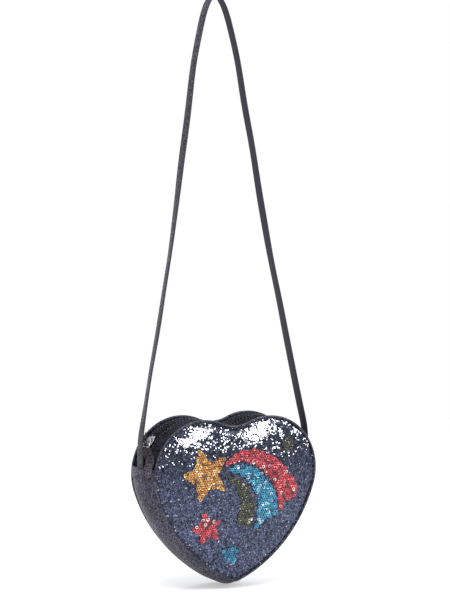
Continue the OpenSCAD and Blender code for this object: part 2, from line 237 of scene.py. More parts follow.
def upper(inset, start=SEAM_A):
    """The stretch over both lobes, from the right seam to the left one."""
    right = arc(LOBE_X, 0, LOBE_R - inset, start, DIP_FROM, LOBE_STEPS)
    dip = arc(0, DIP_Z, DIP_R + inset, DIP_FROM - 180, -DIP_FROM, DIP_STEPS)
    return right + dip[1:-1] + mirrored(right)


def lower(inset):
    """The stretch round the tip, from the left seam to the right one."""
    tip = max(TIP_R - inset, TIP_R / 10)
    tip_z = FLANK_Z - math.sqrt((FLANK_R - inset - tip) ** 2 - FLANK_X ** 2)
    tip_a = math.degrees(math.atan2(tip_z - FLANK_Z, -FLANK_X))
    right = (arc(0, tip_z, tip, -90, tip_a, TIP_STEPS)
             + arc(FLANK_X, FLANK_Z, FLANK_R - inset, tip_a, -FLANK_FROM, FLANK_STEPS)[1:]
             + arc(LOBE_X, 0, LOBE_R - inset, -FLANK_FROM, SEAM_A, SIDE_STEPS)[1:])
    return mirrored(right) + right[1:]


def outline(inset, share=1):
    """The whole heart at an inset, or that ring shrunk towards the heart's middle."""
    ring = upper(inset) + lower(inset)[1:-1]
    return [(x * share, MIDDLE_Z + (z - MIDDLE_Z) * share) for x, z in ring]


EDGE = np.array(outline(0))


def depth(x, z):
    """How far a point of the heart lies from its edge."""
    return float(np.sqrt(((EDGE - (x, z)) ** 2).sum(1)).min())


print("heart", 2 * HALF_W, "by", round(LOBE_R - EDGE[:, 1].min(), 1), "mm")

# %% [markdown]
# ## Cloth
# Cloth starts as Blender's grid, whose rows of vertices are laid along lines of points, as a tailor lays
# cloth over a form. The rows keep their real lengths in a UV map, so that a weave follows the cloth.


# %% Lay a grid along rows of points
def cloth(name, rows):
    """A grid laid along the rows. Ends that meet are welded, and the lengths go in a UV map."""
    wide, tall = len(rows[0]) - 1, len(rows) - 1
    obj = added(bpy.ops.mesh.primitive_grid_add, x_subdivisions=wide, y_subdivisions=tall, size=1)
    obj.name = obj.data.name = name
    points = np.array([[place(*p) for p in row] for row in rows])
    set_coordinates(obj, points.reshape(-1, 3))
    along = np.linalg.norm(np.diff(points[len(rows) // 2], axis=0), axis=1).cumsum()
    across = np.linalg.norm(np.diff(points, axis=0), axis=2).mean(1).cumsum()
    along, across = np.insert(along, 0, 0), np.insert(across, 0, 0)
    for loop, data in zip(obj.data.loops, obj.data.uv_layers.active.data):
        data.uv = along[loop.vertex_index % len(along)], across[loop.vertex_index // len(along)]
    edit(obj, weld)
    return obj


def thicken(obj, thickness, levels=1):
    """Gives cloth its wall, on the inside, and rounds it."""
    modify(obj, "SOLIDIFY", thickness=thickness * MM, offset=-1, use_rim=True)
    if levels:
        modify(obj, "SUBSURF", levels=levels, render_levels=levels)
    smooth(obj)


# %% [markdown]
# ## A small language for shaders
# A finish is written as sums on sockets. The class below wraps a socket, and an expression on two of them
# adds the Math node that it stands for, so a mask or a blend reads as it would on paper.

# %% Shader sums
def colour(rgb):
    """A screen colour from 0 to 255, as the linear colour that shaders take."""
    return tuple(((c / 255 + 0.055) / 1.055) ** 2.4 if c > 10 else c / 255 / 12.92 for c in rgb) + (1,)


def colours(*tones):
    return [colour(rgb) for rgb in tones]


def grey(level):
    return (level, level, level, 1)


WHITE = grey(1)


class Wire:
    """One output socket of a shader's node."""

    def __init__(self, shader, socket):
        self.shader, self.socket = shader, socket

    def sum(self, operation, *values):
        return self.shader.node("ShaderNodeMath", {"operation": operation}, dict(enumerate(values)))

    def __add__(self, other):
        return self.sum("ADD", self, other)

    def __radd__(self, other):
        return self.sum("ADD", other, self)

    def __sub__(self, other):
        return self.sum("SUBTRACT", self, other)

    def __rsub__(self, other):
        return self.sum("SUBTRACT", other, self)

    def __mul__(self, other):
        return self.sum("MULTIPLY", self, other)

    def __rmul__(self, other):
        return self.sum("MULTIPLY", other, self)

    def __truediv__(self, other):
        return self.sum("DIVIDE", self, other)

    def __rtruediv__(self, other):
        return self.sum("DIVIDE", other, self)

    def __gt__(self, other):
        return self.sum("GREATER_THAN", self, other)

    def __lt__(self, other):
        return self.sum("LESS_THAN", self, other)

    def clip(self):
        return self.sum("MINIMUM", self.sum("MAXIMUM", self, 0), 1)


class Shader:
    """A material or a world under construction."""

    def __init__(self, owner):
        owner.use_nodes = True
        self.owner, self.tree = owner, owner.node_tree
        self.tree.nodes.clear()

    def node(self, kind, settings=None, inputs=None, out=0):
        """Adds any node: its settings first, then its sockets' values or links."""
        made = self.tree.nodes.new(kind)
        for key, value in (settings or {}).items():
            if key == "stops":
                ramp = made.color_ramp
                while len(ramp.elements) < len(value):
                    ramp.elements.new(1)
                for element, (position, tone) in zip(ramp.elements, value):
                    element.position, element.color = position, tone
            else:
                setattr(made, key, value)
        for key, value in (inputs or {}).items():
            if isinstance(value, Wire):
                self.tree.links.new(value.socket, made.inputs[key])
            else:
                made.inputs[key].default_value = value
        return Wire(self, made.outputs[out]) if made.outputs else None

    def place(self):
        return self.node("ShaderNodeTexCoord", out="Object")

    def noise(self, scale, detail):
        inputs = {"Vector": self.place(), "Scale": scale, "Detail": detail}
        return self.node("ShaderNodeTexNoise", None, inputs)

    def cells(self, scale, feature="F1", out="Color"):
        inputs = {"Vector": self.place(), "Scale": scale}
        return self.node("ShaderNodeTexVoronoi", {"feature": feature}, inputs, out)

    def cracks(self, scale):
        """How far a point lies from the border of its cell."""
        return self.cells(scale, "DISTANCE_TO_EDGE", "Distance")

    def vector(self, operation, a, b=(0, 0, 0), out=0):
        return self.node("ShaderNodeVectorMath", {"operation": operation}, {0: a, 1: b}, out)

    def split(self, vector, axis):
        return self.node("ShaderNodeSeparateXYZ", None, {0: vector}, "XYZ".index(axis))

    def ramp(self, value, *stops):
        return self.node("ShaderNodeValToRGB", {"stops": stops}, {0: value})

    def mix(self, factor, a, b, mode="MIX"):
        settings = {"data_type": "RGBA", "blend_type": mode}
        return self.node("ShaderNodeMix", settings, {0: factor, 6: a, 7: b}, 2)

    def shaded(self, tone, shade):
        """A colour multiplied by another."""
        return self.mix(1.0, tone, shade, "MULTIPLY")

    def bump(self, height, distance, strength, normal=None):
        """Relief of a height in millimetres."""
        inputs = {"Height": height, "Distance": distance * MM, "Strength": strength}
        if normal:
            inputs["Normal"] = normal
        return self.node("ShaderNodeBump", None, inputs)

    def leaning(self, lean, amount):
        """The surface's own normal, leaned by a random vector: what a loose flake has."""
        normal = self.node("ShaderNodeNewGeometry", out="Normal")
        centred = self.vector("SUBTRACT", lean, (0.5, 0.5, 0.5))
        shift = self.node("ShaderNodeVectorMath", {"operation": "SCALE"}, {0: centred, "Scale": amount})
        return self.vector("NORMALIZE", self.vector("ADD", normal, shift))

    def done(self, **inputs):
        """Ends in a Principled BSDF and gives the material."""
        named = {" ".join(word if word == "IOR" else word.capitalize() for word in key.split("_")): value
                 for key, value in inputs.items()}
        skin = self.node("ShaderNodeBsdfPrincipled", None, named)
        self.node("ShaderNodeOutputMaterial", None, {"Surface": skin})
        return self.owner


def new_finish(name):
    return Shader(bpy.data.materials.new(name))


# %% [markdown]
# ## Glitter cloth
# The bag's cloth is dark vinyl strewn with thousands of foil flakes under a clear, glossy film. A cell
# pattern gives every flake its own tone and its own lean, so single flakes flash where the light happens to
# meet them. The panels have coarse flakes of about a millimetre. The gusset, tab and strap have finer,
# greyer ones.

# %% Glitter finishes
LOBE_SHADE_FROM, LOBE_SHADE_TO = -0.465, -0.405


def glitter(name, flake, tones, lean, rough, coat=0.1, foil_share=0.8, shine=0.15, painted_lobe_shade=False):
    """Foil flakes of one size, in four tones. Painted light and shade can lighten them low down and darken
    them towards the lobes.
    """
    gap, low, mid, high = colours(*tones)
    s = new_finish(name)
    size = flake * MM
    # two layers of flakes, so that their edges overlap at random
    first, second = s.cells(1 / size), s.cells(1.7 / size)
    over = s.split(second, "Y") > 0.62
    tone = s.split(second, "Z") * over + s.split(first, "X") * (1 - over)
    shown = s.ramp(tone, (0.0, gap), (0.16, low), (0.45, mid), (0.86, high))
    # flakes lie in clumps with dark film between them, and wear dulls whole patches
    clumps = s.ramp(s.noise(0.45 / size, 3), (0.42, (0.28, 0.28, 0.34, 1)), (0.56, grey(1.15)))
    patches = s.ramp(s.noise(38, 3), (0.35, grey(0.78)), (0.65, grey(1.1)))
    shown = s.shaded(s.shaded(shown, clumps), patches)
    if painted_lobe_shade:
        # painted light and shade by height: a little lighter low on the heart, far darker over the lobes
        height = (s.split(s.place(), "Z") - LOBE_SHADE_FROM) / (LOBE_SHADE_TO - LOBE_SHADE_FROM)
        shown = s.shaded(shown, s.ramp(height, (0.0, grey(1.15)), (1.0, (0.3, 0.32, 0.34, 1))))
    edge = (s.cracks(1 / size) / 0.08).clip()
    relief = s.bump(edge + tone * 0.5, 0.12, 0.5, s.leaning(s.mix(over, first, second), lean))
    return s.done(base_color=s.mix(edge, gap, shown), metallic=edge * foil_share, normal=relief,
                  roughness=rough + s.split(second, "X") * 0.2, specular_IOR_level=shine, coat_weight=coat,
                  coat_roughness=0.16)


coarse = glitter("coarse_glitter", 1.15, ((10, 13, 28), (36, 42, 66), (72, 81, 109), (112, 121, 150)),
                 0.5, 0.26, coat=0.25, painted_lobe_shade=True)
fine = glitter("fine_glitter", 0.8, ((20, 19, 30), (54, 52, 66), (85, 83, 98), (124, 121, 137)), 0.5, 0.45,
               foil_share=0.5)
tab_face = glitter("tab_glitter", 0.75, ((18, 17, 24), (44, 41, 50), (70, 66, 77), (110, 105, 118)),
                   0.5, 0.45, foil_share=0.5)
strap_face = glitter("strap_glitter", 0.8, ((20, 20, 27), (42, 42, 54), (72, 72, 86), (118, 118, 132)),
                     0.45, 0.4)
welt = glitter("welt_glitter", 0.6, ((14, 14, 24), (34, 34, 48), (62, 62, 80), (120, 120, 140)), 0.5, 0.3,
               coat=0.2)
# the strips are the gusset's glitter painted much darker: painted shade on the strips
zip_vinyl = glitter("strip_glitter", 0.62, ((9, 9, 15), (20, 20, 29), (36, 36, 47), (92, 92, 104)), 0.45, 0.5,
                    coat=0, foil_share=0.06, shine=0)

# %% [markdown]
# ## The quieter finishes
# Painted vinyl edges, the strap's smooth inner face, woven zip tape, nylon coil, thread, lining and nickel.
# Each has the fine relief of the real stuff, and each is a little uneven, because nothing sewn is perfectly
# clean.


# %% Plain finishes
def vinyl(name, tone, dark, rough, shine):
    s = new_finish(name)
    cloud = s.noise(60, 4)
    return s.done(base_color=s.mix(cloud, colour(dark), colour(tone)), roughness=rough + cloud * 0.15,
                  normal=s.bump(s.cracks(1400), 0.08, 0.35), specular_IOR_level=shine)


def woven(name, tone, dark, pitch):
    """A plain weave that follows the cloth's own lengths."""
    s = new_finish(name)
    lengths = s.node("ShaderNodeUVMap")
    u, v = (s.split(lengths, axis) * (math.pi / (pitch * MM)) for axis in "XY")
    threads = u.sum("SINE", u) * v.sum("SINE", v)
    height = threads.sum("ABSOLUTE", threads)
    fuzz = s.noise(900, 3)
    return s.done(base_color=s.mix(height * 0.7 + fuzz * 0.3, colour(dark), colour(tone)), sheen_weight=0.1,
                  roughness=0.75 + fuzz * 0.15, normal=s.bump(height, 0.1, 0.6), specular_IOR_level=0.15)


def metal(name, tone):
    s = new_finish(name)
    bright = colour(tone)
    dull = tuple(c * 0.72 for c in bright[:3]) + (1,)
    brushed, cloud = s.noise(420, 3), s.noise(90, 3)
    return s.done(base_color=s.mix(cloud, bright, dull), metallic=1.0, roughness=0.14 + cloud * 0.16,
                  normal=s.bump(brushed, 0.02, 0.25))


def spun(name, tone, dark, pitch=0.45):
    """Twisted thread or nylon: slanted ridges with a soft shine."""
    s = new_finish(name)
    x, y, z = (s.split(s.place(), axis) for axis in "XYZ")
    ridge = (x + y + z) * (2 * math.pi / (pitch * MM))
    height = ridge.sum("SINE", ridge) * 0.5 + 0.5
    return s.done(base_color=s.mix(height, colour(dark), colour(tone)), roughness=0.38 + height * 0.12,
                  normal=s.bump(height, 0.06, 0.5), specular_IOR_level=0.25)


def foil(name, rough, metallic, coat):
    """Foil whose copies carry a tint each, in a colour attribute."""
    s = new_finish(name)
    tint = s.node("ShaderNodeAttribute", {"attribute_name": "tint"}, out="Color")
    cloud = s.noise(700, 2)
    return s.done(base_color=s.mix(cloud * 0.3, tint, (0.02, 0.02, 0.03, 1)), metallic=metallic,
                  roughness=rough + cloud * 0.12, normal=s.bump(cloud, 0.03, 0.3), coat_weight=coat,
                  coat_roughness=0.1)


inner_vinyl = vinyl("smooth_vinyl", (50, 50, 66), (34, 34, 48), 0.5, 0.25)
edge_paint = vinyl("painted_edge", (30, 30, 40), (20, 20, 28), 0.35, 0.5)
tape_weave = woven("zip_weave", (18, 18, 26), (6, 6, 10), 0.5)
lining_weave = woven("lining_weave", (48, 48, 58), (28, 28, 36), 0.35)
coil = spun("nylon_coil", (22, 22, 30), (8, 8, 13), 0.9)
thread = spun("sewing_thread", (58, 58, 78), (24, 24, 38))
grey_thread = spun("grey_thread", (132, 132, 146), (70, 70, 84))
nickel = metal("nickel", (236, 235, 232))
gunmetal = metal("gunmetal", (158, 157, 160))
flake_foil = foil("flake_foil", 0.22, 0.8, 0.5)
sequin_foil = foil("sequin_foil", 0.16, 0.45, 0.6)

# %% [markdown]
# ## The two padded hearts
# Front and back are vinyl on foam, sewn flat at the rim. The cloth is laid in rings from the rim inwards,
# then left to swell under air pressure with its rim pinned, which is how padded cloth finds its own soft
# crown. A cap keeps the swelling to what the foam allows.

# %% Padded hearts
RIM_Y = 21.3
RING_INSETS = (1.3, 2.0, 2.8, 3.6, 4.6, 6, 8, 10.5, 13.5)
RING_SHARES = (0.94, 0.87, 0.79, 0.7, 0.6, 0.49, 0.37, 0.25, 0.13, 0)
PINNED, PUFF_SPAN, DENT_SPAN, PINNED_RISE = 3.4, 9, 8, 0.3
PUFF, CROWN, CAP, PANEL_T = 3.4, 1.6, 5.5, 0.9
PRESSURE, SWELL_FRAMES, STRETCH_STIFFNESS, BEND_STIFFNESS = 4, 20, 40, 6


def rise(inset):
    """The height of the padding above the rim before it swells."""
    return PUFF * math.sqrt(1 - (1 - ease(inset, PINNED, PUFF_SPAN)) ** 2)


def swell(obj, pinned):
    """Cloth under air pressure, held at its pinned vertices, then applied and capped."""
    start = coordinates(obj)
    obj.vertex_groups.new(name="pinned").add(pinned, 1, "REPLACE")
    only(obj)
    bpy.ops.object.modifier_add(type="CLOTH")
    settings = obj.modifiers["Cloth"].settings
    settings.vertex_group_mass = "pinned"
    settings.use_pressure, settings.uniform_pressure_force = True, PRESSURE
    settings.effector_weights.gravity = 0
    settings.tension_stiffness = settings.compression_stiffness = STRETCH_STIFFNESS
    settings.bending_stiffness = BEND_STIFFNESS
    for step in range(1, SWELL_FRAMES + 1):
        bpy.context.scene.frame_set(step)
    bpy.ops.object.modifier_apply(modifier="Cloth")
    bpy.context.scene.frame_set(1)
    moved = coordinates(obj) - start
    length = np.linalg.norm(moved, axis=1, keepdims=True)
    cap = CAP * MM
    moved *= np.where(length > 0, cap * np.tanh(length / cap) / np.maximum(length, 1e-9), 1)
    set_coordinates(obj, start + moved)
    print(obj.name, "swelled by up to", round(float(length.max()) / MM, 2), "mm")


def heart(name, side):
    """One padded panel. It is made as a front, and the back is then its mirror image."""
    rows = [[(x, -RIM_Y - rise(inset), z) for x, z in closed(outline(inset))] for inset in RING_INSETS]
    for share in RING_SHARES:
        crown = PUFF + CROWN * (1 - share ** 2)
        rows.append([(x, -RIM_Y - crown, z) for x, z in closed(outline(RING_INSETS[-1], share))])
    obj = cloth(name, rows)
    swell(obj, [v.index for v in obj.data.vertices if -v.co.y / MM < RIM_Y + PINNED_RISE])
    # foam is never quite even, so it has slow dents
    co = coordinates(obj)
    for point in co:
        x, _, z = np.array(point) / MM - HANG
        soft = ease(depth(x, z), PINNED, DENT_SPAN)
        point[1] -= soft * (0.35 * wander(x, z, 22) + 0.12 * wander(x, z, 7, 1)) * MM
    co[:, 1] *= -side
    set_coordinates(obj, co)
    turn_towards(obj, Vector((0, side, 0)))
    thicken(obj, PANEL_T)
    return obj


hearts = {"front": heart("front_heart", -1), "back": heart("back_heart", 1)}
for side, obj in hearts.items():
    finish(obj, "bag", "panel_glitter", coarse, side + "_panel", side + "_foam")

# %% [markdown]
# ## Many copies of one small shape
# Flakes, sequins, stitches and zip coils repeat hundreds of times. Each is modelled once, and its copies
# are stamped into one mesh, which keeps the scene light.


# %% Stamp copies
def stamp(name, pattern, places, tints=None, painted_shading=1.0):
    """One mesh with a copy of the pattern at each matrix, and a tint for each copy, with painted shading over
    the copy.
    """
    base = coordinates(pattern)
    faces = [tuple(p.vertices) for p in pattern.data.polygons]
    points, count = [], len(base)
    for matrix in places:
        m = np.array(matrix)
        points.append(base @ m[:3, :3].T + m[:3, 3])
    mesh = bpy.data.meshes.new(name)
    mesh.from_pydata(np.concatenate(points).tolist(), [],
                     [tuple(i + k * count for i in face) for k in range(len(places)) for face in faces])
    if tints:
        attribute = mesh.color_attributes.new("tint", "FLOAT_COLOR", "POINT")
        tinted = np.repeat(np.array(tints), count, axis=0)
        tinted[:, :3] *= np.tile(np.broadcast_to(painted_shading, count), len(places))[:, None]
        attribute.data.foreach_set("color", tinted.ravel())
    obj = bpy.data.objects.new(name, mesh)
    bpy.context.scene.collection.objects.link(obj)
    smooth(obj, 35)
    return obj


def frame_at(where, normal, along):
    """A place whose Z is the normal and whose X is the direction along."""
    z = Vector(normal).normalized()
    x = (Vector(along) - z * Vector(along).dot(z)).normalized()
    return Matrix.Translation(where) @ Matrix((x, z.cross(x), z)).transposed().to_4x4()


def spaced(points, pitch):
    """Places at even steps along a line, each with the direction of the line there."""
    line = [Vector(p) for p in points]
    steps = [(b - a).length for a, b in zip(line, line[1:])]
    count = int(sum(steps) / pitch)
    gap, found, k, before = sum(steps) / count, [], 0, 0
    for i in range(count):
        target = (i + 0.5) * gap
        while before + steps[k] < target:
            before += steps[k]
            k += 1
        along = (line[k + 1] - line[k]).normalized()
        found.append((line[k] + along * (target - before), along))
    return found


def surface_of(obj):
    """A tree that finds where a line meets a piece."""
    return BVHTree.FromObject(obj, bpy.context.evaluated_depsgraph_get())


# %% [markdown]
# ## Loose foil flakes
# The coarse cloth isn't smooth: its flakes stand up a little and catch the light one by one. Thousands of
# real hexagons are strewn over both hearts in loose clumps, each leaned at random and half sunk in the
# film. Higher up they take darker tones, a painted shade. Over the lobes many lean upwards together, and a
# light above makes a band of sparkles; these flakes also take the lightest tone, a painted highlight.
# Flakes of that tone along the valley beside the piping are painted glints.

# %% Flakes
FLAKES, SPARKLES = 8000, 1050
FLAKE_R, FLAKE_CROWN, FLAKE_LIFT = 0.62, 0.05, 0.05
TONES = colours((24, 28, 48), (52, 59, 84), (82, 91, 120), (112, 122, 152), (204, 206, 216))
# tone shares low on the heart, and higher up, where the darker tones are painted shade
LOW_WEIGHTS, SHADED_HIGH_WEIGHTS = (5, 6, 6, 3, 0.4), (16, 5, 1, 1, 0.5)
UP_LEAN, OUT_LEAN = 0.348, 0.938
# each sparkle patch: its middle, its half width and height, and its slope
SPARKLE_PATCHES = [(-46, 35, 12, 5.5, 0.3), (22, 37, 14, 5.5, 0.35)]
VALLEY_INSET, VALLEY_PITCH, VALLEY_SHARE = 3.0, 2.1, 0.45


def flake_pattern():
    obj = added(bpy.ops.mesh.primitive_circle_add, vertices=6, radius=FLAKE_R * MM, fill_type="TRIFAN")
    co = coordinates(obj)
    co[np.linalg.norm(co, axis=1) < 0.1 * MM, 2] += FLAKE_CROWN * MM
    set_coordinates(obj, co)
    return obj


def stretched(x, z):
    """How many of the flakes at a place lean upwards together, as a share: the sparkle patches, whose flakes
    also get a painted highlight.
    """
    patches = sum(math.exp(-((x - px) / wide) ** 2 - ((z - pz - slope * (x - px)) / tall) ** 2)
                  for px, pz, wide, tall, slope in SPARKLE_PATCHES)
    return patches * (0.9 + 1.2 * wander(x, z, 5, 8)) + 0.09 * ease(z, 8, 30) * (1 + 2 * wander(x, z, 7, 9))


def strew(name, panel, side, seed):
    tree = surface_of(panel)
    rng = random.Random(seed)
    places, tints = [], []

    def lay(x, z, out=None, tone=None, spread=0.15, size=1.0):
        where, normal, _, _ = tree.ray_cast(place(x, side * 60, z), Vector((0, -side, 0)))
        if where is None:
            return
        lean = Vector([rng.gauss(0, spread) for _ in range(3)])
        turn = Vector((rng.uniform(-1, 1), rng.uniform(-0.2, 0.2), rng.uniform(-1, 1)))
        spot = frame_at(where + normal * FLAKE_LIFT * MM, (out or normal) + lean, turn)
        places.append(spot @ Matrix.Scale(size * rng.uniform(0.7, 1.25), 4))
        if tone is None:
            tone = rng.choices(TONES, LOW_WEIGHTS if z < rng.uniform(-12, 16) else SHADED_HIGH_WEIGHTS)[0]
        tints.append(tone)

    upwards = Vector((0, side * OUT_LEAN, UP_LEAN))
    while len(places) < FLAKES + SPARKLES:
        x, z = rng.uniform(-84, 84), rng.uniform(-99, 51)
        if depth(x, z) < PINNED:
            continue
        if len(places) < FLAKES:
            if wander(x, z, 3.2, 10) > rng.uniform(-0.25, 0.08):
                lay(x, z)
        elif rng.random() < stretched(x, z):
            # these flakes lean towards the front light and take the lightest tone: partly real sparkle,
            # partly painted highlight
            lay(x, z, upwards, TONES[-1], 0.06, 1.25)
    # light flakes also lie in the valley beside the piping, in the lightest tone: painted glints along the
    # seam
    for (x, _, z), _ in spaced([(x, 0, z) for x, z in closed(outline(VALLEY_INSET))], VALLEY_PITCH):
        if rng.random() < VALLEY_SHARE:
            lay(x, z, None, TONES[-1], 0.4)
    return stamp(name, flake, places, tints)


flake = flake_pattern()
for name, side, seed in (("front", -1, 11), ("back", 1, 12)):
    finish(strew(name + "_flakes", hearts[name], side, seed), "bag", "panel_glitter", flake_foil)
bpy.data.objects.remove(flake)

# %% [markdown]
# ## The gusset
# One long strip of finer glitter cloth, on thin foam, runs from side seam to side seam under the bag. It
# bulges in the middle of its width, and it is a little uneven where it is eased round the curves.

# %% Gusset
BULGE, GUSSET_INSET, GUSSET_T, WALL_Y = 6, 1.2, 1, 20.3
STATIONS = [WALL_Y * (j / 10 - 1) for j in range(21)]


def bulge(y):
    return BULGE * (1 - (y / WALL_Y) ** 2)


def under(y):
    """The gusset's line at one place across the bag, bulged outwards and a little uneven."""
    row = []
    for (x0, z0), (x1, z1) in zip(lower(GUSSET_INSET), lower(GUSSET_INSET + 1)):
        out = bulge(y) + 0.35 * bulge(y) / BULGE * wander(x0 + y, z0, 14, 3)
        row.append((x0 + (x0 - x1) * out, y, z0 + (z0 - z1) * out))
    return row


gusset = cloth("gusset", [under(y) for y in STATIONS])
thicken(gusset, GUSSET_T)
finish(gusset, "bag", "gusset_glitter", fine, "lower_gusset", "gusset_foam")

# %% [markdown]
# ## Piping and its stitches
# A thin cord covered in glitter cloth is caught in the seam round each heart, and a row of stitches lies in
# the valley beside it. The piping is a curve with a round section, and the stitches are little capsules.

# %% Piping
WELT_INSET, WELT_Y, WELT_R = 1.15, 21.45, 1.1
SEAM_INSET, SEAM_Y, SEAM_PITCH, ROW_PITCH = 2.9, RIM_Y + 0.25, 4.2, 3.4


def cord(name, points, radius, levels=0):
    """A round cord along a closed line. The points are in metres and the radius in millimetres."""
    obj = added(bpy.ops.mesh.primitive_circle_add, vertices=len(points), radius=1)
    set_coordinates(obj, points)
    if levels:
        modify(obj, "SUBSURF", levels=levels, render_levels=levels)
    bpy.ops.object.convert(target="CURVE")
    curve = bpy.context.object.data
    curve.bevel_depth, curve.bevel_resolution = radius * MM, 3
    bpy.ops.object.convert(target="MESH")
    obj = bpy.context.object
    obj.name = obj.data.name = name
    edit(obj, weld)
    smooth(obj, 60)
    return obj


def bead(length, width, height):
    """A small rounded body."""
    obj = added(bpy.ops.mesh.primitive_uv_sphere_add, segments=8, ring_count=6, radius=0.5)
    obj.scale = Vector((length, width, height)) * MM
    bpy.ops.object.transform_apply(location=False, rotation=False, scale=True)
    return obj


def sew_row(name, stitch, line, pitch, out, material, *replaced):
    """A row of stitches along a line, on cloth whose outward direction at a point is given by a function."""
    places = [frame_at(place(*where), out(where), along) for where, along in spaced(line, pitch)]
    finish(stamp(name, stitch, places), "bag", "thread", material, *replaced)


long_stitch, short_stitch = bead(2.7, 0.62, 0.496), bead(2.3, 0.5, 0.4)
for name, side in (("front", -1), ("back", 1)):
    ring = [place(x, side * WELT_Y, z) for x, z in outline(WELT_INSET)]
    finish(cord(name + "_welt", ring, WELT_R), "bag", "piping_leatherette", welt, name + "_piping")
    line = [(x, side * SEAM_Y, z) for x, z in closed(outline(SEAM_INSET))]
    sew_row(name + "_seam_stitches", long_stitch, line, SEAM_PITCH, lambda where: (0, side, 0), thread,
            name + "_stitches")

# %% [markdown]
# ## The folded side hems
# Where the gusset ends, its cloth is folded over the zip's strips and sewn down, and the strap comes up
# through the fold. The fold is one sheet that turns over at the top, with a short row of stitches below it.

# %% Side hems
HEM_PROFILE = [(1.15, -2.2), (1.25, 0.5), (1.3, 3.5), (1.25, 5.6), (0.95, 7.0), (0.3, 7.75), (-0.8, 8.0)]
HEM_SHARES, HEM_END_X, HEM_DROP, HEM_T = (0.4, 0.75, 1), 83.2, 0.35, 0.8
HEM_ROW_OUT, HEM_ROW_Z = 0.25, -0.6


def hem(name, side):
    turn_out, turn_z = HEM_PROFILE[-1]
    rows = []
    for y in STATIONS:
        base = HALF_W - GUSSET_INSET + bulge(y)
        turn_x = base + turn_out
        row = [(side * (base + out), y, z + 0.25 * wander(y, z, 9, 5)) for out, z in HEM_PROFILE]
        row += [(side * (turn_x + (HEM_END_X - turn_x) * t), y, turn_z - HEM_DROP * t) for t in HEM_SHARES]
        rows.append(row)
    obj = cloth(name, rows)
    turn_towards(obj, Vector((side, 0, 0)))
    thicken(obj, HEM_T)
    return obj


for name, side in (("left", -1), ("right", 1)):
    finish(hem(name + "_hem", side), "bag", "gusset_glitter", fine, "side_hem_" + name)
    line = [(side * (HALF_W + HEM_ROW_OUT + bulge(y)), y, HEM_ROW_Z) for y in STATIONS]
    sew_row(name + "_hem_stitches", short_stitch, line, ROW_PITCH, lambda where: (side, 0, 0), thread)

# %% [markdown]
# ## The zip
# Two strips of vinyl run over the lobes on either side of the zip, their inner edges folded down to the
# woven tape. The coil is a row of little nylon loops along each tape's edge.

# %% Zip strips, tapes and coils
ZIP_Y, STRIP_T, TAPE_T, TAPE_INSET = 6, 0.8, 0.4, 3.45
FRONT_PROFILE = [(-WALL_Y, 2.3), (-17.5, 1.95), (-12, 1.7), (-6, 1.75), (-1.5, 1.95), (0.6, 2.15), (1.4, 2.6),
                 (1.35, 3.3)]
BACK_PROFILE = [(10.65, 3.3), (10.6, 2.6), (11.4, 2.15), (13.5, 1.95), (17, 1.95), (WALL_Y, 2.3)]
COIL_INSET, COIL_FROM, COIL_PITCH, COIL_OUT = 2.65, 30.5, 1.15, 1.95
LIP_INSET, LIP_FROM, LIP_BELOW = 1.85, 9, 20


def over_lobes(name, profile, thickness):
    """A strip over both lobes, through (place across the bag, inset) pairs."""
    obj = cloth(name, [[(x, y, z) for x, z in upper(inset)] for y, inset in profile])
    turn_towards(obj, Vector((0, 0, 1)))
    thicken(obj, thickness)
    return obj


def coil_pattern():
    """One loop of nylon: a rod bent over the tape's edge, thicker at its inner head."""
    obj = bead(1.0, 2.5, 1.35)
    co = coordinates(obj)
    co[:, 0] *= np.where(co[:, 1] > 0.6 * MM, 1.1, 0.8)
    set_coordinates(obj, co)
    return obj


loop = coil_pattern()
for name, profile, tape, side, lip_y in (("front", FRONT_PROFILE, (-4.8, 0, 5), -1, -0.6),
                                         ("back", BACK_PROFILE, (7, 12, 16.8), 1, 12.6)):
    finish(over_lobes(name + "_strip", profile, STRIP_T), "bag", "piping_leatherette", zip_vinyl,
           name + "_zip_strip")
    finish(over_lobes(name + "_tape", [(y, TAPE_INSET) for y in tape], TAPE_T), "bag", "zip_tape", tape_weave,
           name + "_zip_tape")
    line = [(x, ZIP_Y + side * COIL_OUT, z) for x, z in upper(COIL_INSET, COIL_FROM)]
    # a loop's head points at the other tape, so the front row is turned round
    turned = Matrix.Rotation(math.pi if side < 0 else 0, 4, "Z")
    places = [frame_at(place(*where), (along.z, 0, -along.x), along) @ turned
              for where, along in spaced(line, COIL_PITCH)]
    finish(stamp(name + "_coil", loop, places), "bag", "zip_coil", coil, name + "_zip_teeth")
    sew_row(name + "_zip_stitches", short_stitch, [(x, lip_y, z) for x, z in upper(LIP_INSET, LIP_FROM)],
            ROW_PITCH, lambda where: (where.x, 0, where.z + LIP_BELOW), grey_thread)
for pattern in (long_stitch, short_stitch, loop):
    bpy.data.objects.remove(pattern)

# %% [markdown]
# ## The slider, its pull and the stops
# The slider is cast metal: two plates that grip the coil from above and below, a post between them and a
# small bridge on top. A stamped wire frame turns in the bridge and carries the cloth tab. They shine, so
# their edges are bevelled, because a sharp edge never catches the light.

# %% Metal parts
SLIDER_A, PIN_OUT, HANG_A = math.radians(39), 51.65, math.radians(31)
PLATE, PLATE_TAPER, PLATE_ROUND = (10, 8.4, 1.2), 0.72, 0.45
UPPER_Z, LOWER_Z = -1.0, -4.8
POST, POST_X, POST_ROUND = (3.2, 1, 3.6), -3.2, 0.15
LUG, LUG_X, LUG_Y, LUG_DROP, LUG_ROUND = (6.4, 0.9, 2.1), -1.6, 3.75, 0.9, 0.25
BRIDGE_R, BRIDGE_WIRE_R, BRIDGE_SHARES = 1.3, 0.42, (1.5, 1, 2.0)
PULL_WIRE_R = 0.6
